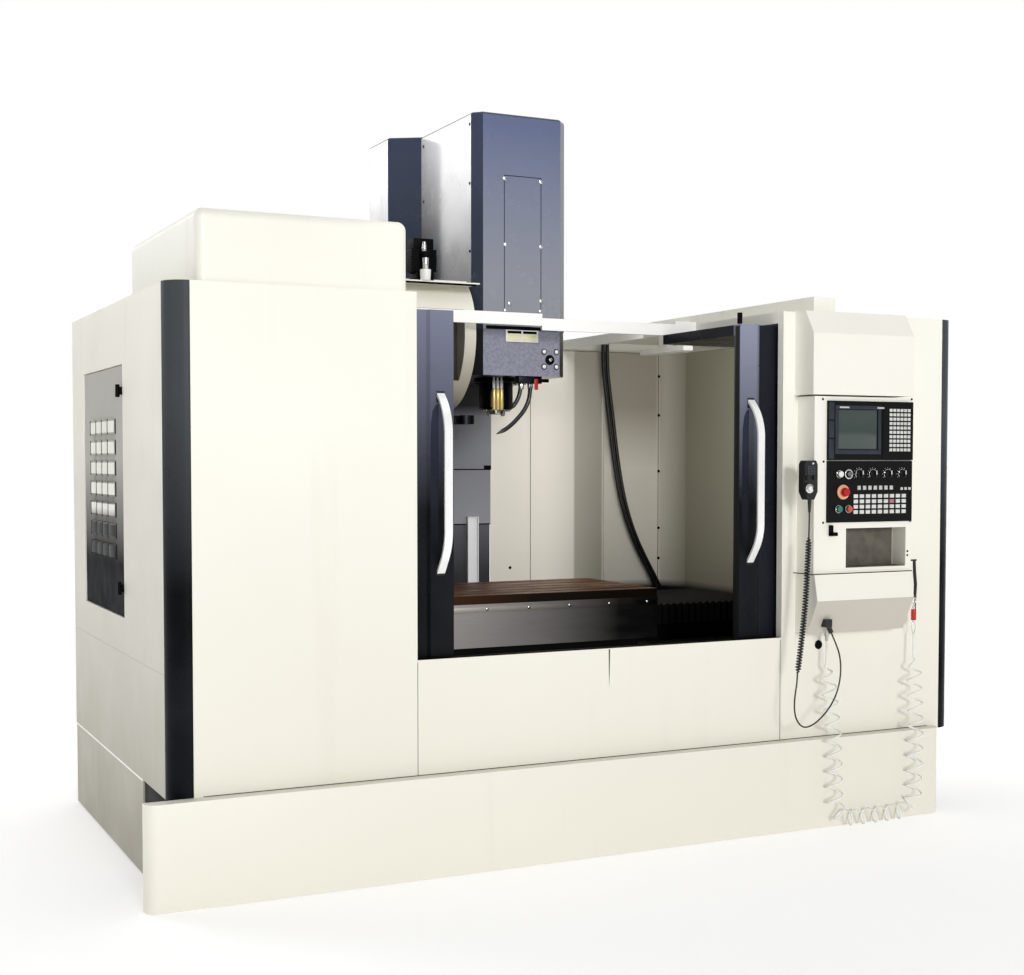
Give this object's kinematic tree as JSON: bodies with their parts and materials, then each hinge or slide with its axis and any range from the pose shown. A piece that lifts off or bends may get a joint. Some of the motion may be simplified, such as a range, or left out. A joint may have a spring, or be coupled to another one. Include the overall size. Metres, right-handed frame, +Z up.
{
  "type": "cnc machining centre",
  "caption": "Vertical machining centre with a full enclosure, sliding doors, moving table and head, tool magazine with change arm, and an operator panel.",
  "frame": {"origin": "on the floor at the middle of the machine's footprint, cords left out", "axes": "+Z up, +Y from the operator's front to the rear, +X to the operator's right"},
  "size_m": [3.806, 2.911, 3.245],
  "materials": {
    "cream_paint": "cream textured paint",
    "navy_paint": "dark navy grey paint",
    "beige_paint": "beige grey paint",
    "black_trim": "glossy black paint",
    "cast_grey": "painted casting",
    "ground_iron": "ground, oil film and light rust",
    "steel": "ground steel",
    "sheet_steel": "dull stainless sheet",
    "aluminium": "brushed",
    "black_rubber": "matt",
    "black_plastic": "fine texture",
    "panel_grey": "smooth",
    "key_grey": "smooth",
    "clear_hose": "translucent",
    "red_plastic": "gloss",
    "green_plastic": "gloss",
    "white_plastic": "gloss",
    "chrome": "polished"
  },
  "bodies": {
    "frame": {"machine_bed": "cast_grey", "column": "cast_grey", "guides_and_screws": "steel", "levelling_feet": "steel", "coolant_tank": "cream_paint", "left_front_panel": "cream_paint", "left_side_panels": "cream_paint", "right_front_panel": "cream_paint", "right_side_panels": "cream_paint", "apron_panel": "cream_paint", "corner_trims": "black_trim", "roof_hood": "cream_paint", "roof_panels": "cream_paint", "roof_rail": "cream_paint", "rear_panels": "cream_paint", "chamber_lining": "beige_paint", "z_cover_lower": "sheet_steel", "guide_channel": "aluminium", "electrical_cabinet": "beige_paint", "station_hood": "cream_paint", "station_cabinet": "cream_paint", "operator_panels": "panel_grey", "panel_keys": "key_grey", "pendant_body": "black_plastic", "pendant_cord": "black_rubber", "cord_connector": "black_plastic", "air_gun": "red_plastic", "air_hose": "clear_hose", "magazine_housing": "cream_paint", "magazine_drive": "black_plastic", "work_light": "white_plastic", "coolant_hoses": "black_rubber", "y_bellows": "black_rubber"},
    "cabinet_door": {"vent_door": "navy_paint"},
    "left_door": {"left_door": "navy_paint", "left_handle": "chrome"},
    "right_door": {"right_door": "navy_paint", "right_handle": "chrome"},
    "head": {"head_casting": "navy_paint", "head_cover": "navy_paint", "z_cover_upper": "sheet_steel", "spindle_nose": "steel"},
    "spindle": {"spindle": "steel"},
    "way_cover_middle": {"z_cover_middle": "sheet_steel"},
    "saddle": {"saddle": "cast_grey", "x_bellows": "black_rubber"},
    "table": {"table": "ground_iron", "table_guard": "sheet_steel"},
    "magazine_drum": {"magazine_drum": "black_plastic"},
    "change_arm": {"change_arm": "steel"},
    "emergency_stop": {"emergency_stop": "red_plastic"},
    "start_button": {"start_button": "green_plastic"},
    "stop_button": {"stop_button": "red_plastic"},
    "reset_button": {"reset_button": "white_plastic"},
    "key_switch": {"key_switch": "steel"},
    "pendant_dial": {"pendant_dial": "black_plastic"},
    "override_knob_1": {"override_knob_1": "black_plastic"},
    "override_knob_2": {"override_knob_2": "black_plastic"},
    "override_knob_3": {"override_knob_3": "black_plastic"},
    "override_knob_4": {"override_knob_4": "black_plastic"}
  },
  "joints": [
    {"name": "left_door_slide", "type": "slide", "parent": "frame", "child": "left_door", "axis": [1, 0, 0], "range_m": [0, 0.684]},
    {"name": "right_door_slide", "type": "slide", "parent": "frame", "child": "right_door", "axis": [-1, 0, 0], "range_m": [0, 0.684]},
    {"name": "saddle_y_slide", "type": "slide", "parent": "frame", "child": "saddle", "axis": [0, 1, 0], "range_m": [-0.33, 0.33], "deforming": ["y_bellows"]},
    {"name": "table_x_slide", "type": "slide", "parent": "saddle", "child": "table", "axis": [1, 0, 0], "range_m": [-0.65, 0.65], "deforming": ["x_bellows"]},
    {"name": "head_z_slide", "type": "slide", "parent": "frame", "child": "head", "axis": [0, 0, 1], "range_m": [-0.69, 0]},
    {"name": "way_cover_slide", "type": "slide", "parent": "frame", "child": "way_cover_middle", "axis": [0, 0, 1], "range_m": [-0.345, 0]},
    {"name": "spindle_spin", "type": "hinge", "parent": "head", "child": "spindle", "pos_m": [0.061, -0.1045, 1.9], "axis": [0, 0, 1], "continuous": true},
    {"name": "drum_spin", "type": "hinge", "parent": "frame", "child": "magazine_drum", "pos_m": [-0.389, -0.1045, 2.217], "axis": [1, 0, 0], "continuous": true},
    {"name": "arm_turn", "type": "hinge", "parent": "frame", "child": "change_arm", "pos_m": [-0.239, -0.1045, 1.83], "axis": [0, 0, 1], "range_deg": [0, 270]},
    {"name": "cabinet_door_hinge", "type": "hinge", "parent": "frame", "child": "cabinet_door", "pos_m": [-1.791, 0.3945, 1.5], "axis": [0, 0, 1], "range_deg": [-100, 0]},
    {"name": "emergency_stop_push", "type": "slide", "parent": "frame", "child": "emergency_stop", "axis": [0, 1, 0], "range_m": [0, 0.005], "stiffness_N_per_m": 600, "springref_m": -0.002},
    {"name": "start_button_push", "type": "slide", "parent": "frame", "child": "start_button", "axis": [0, 1, 0], "range_m": [0, 0.004], "stiffness_N_per_m": 600, "springref_m": -0.002},
    {"name": "stop_button_push", "type": "slide", "parent": "frame", "child": "stop_button", "axis": [0, 1, 0], "range_m": [0, 0.004], "stiffness_N_per_m": 600, "springref_m": -0.002},
    {"name": "reset_button_push", "type": "slide", "parent": "frame", "child": "reset_button", "axis": [0, 1, 0], "range_m": [0, 0.004], "stiffness_N_per_m": 600, "springref_m": -0.002},
    {"name": "key_turn", "type": "hinge", "parent": "frame", "child": "key_switch", "pos_m": [1.175, -1.3895, 1.584], "axis": [0, -1, 0], "range_deg": [-45, 45]},
    {"name": "override_1_turn", "type": "hinge", "parent": "frame", "child": "override_knob_1", "pos_m": [1.235, -1.3895, 1.584], "axis": [0, -1, 0], "range_deg": [-135, 135]},
    {"name": "override_2_turn", "type": "hinge", "parent": "frame", "child": "override_knob_2", "pos_m": [1.311, -1.3895, 1.584], "axis": [0, -1, 0], "range_deg": [-135, 135]},
    {"name": "override_3_turn", "type": "hinge", "parent": "frame", "child": "override_knob_3", "pos_m": [1.395, -1.3895, 1.584], "axis": [0, -1, 0], "range_deg": [-135, 135]},
    {"name": "override_4_turn", "type": "hinge", "parent": "frame", "child": "override_knob_4", "pos_m": [1.476, -1.3895, 1.584], "axis": [0, -1, 0], "range_deg": [-135, 135]},
    {"name": "dial_turn", "type": "hinge", "parent": "frame", "child": "pendant_dial", "pos_m": [0.925, -1.4345, 1.523], "axis": [0, -1, 0], "continuous": true}
  ],
  "couplings": [
    {"joint": "way_cover_slide", "follows": "head_z_slide", "ratio": 0.5}
  ]
}
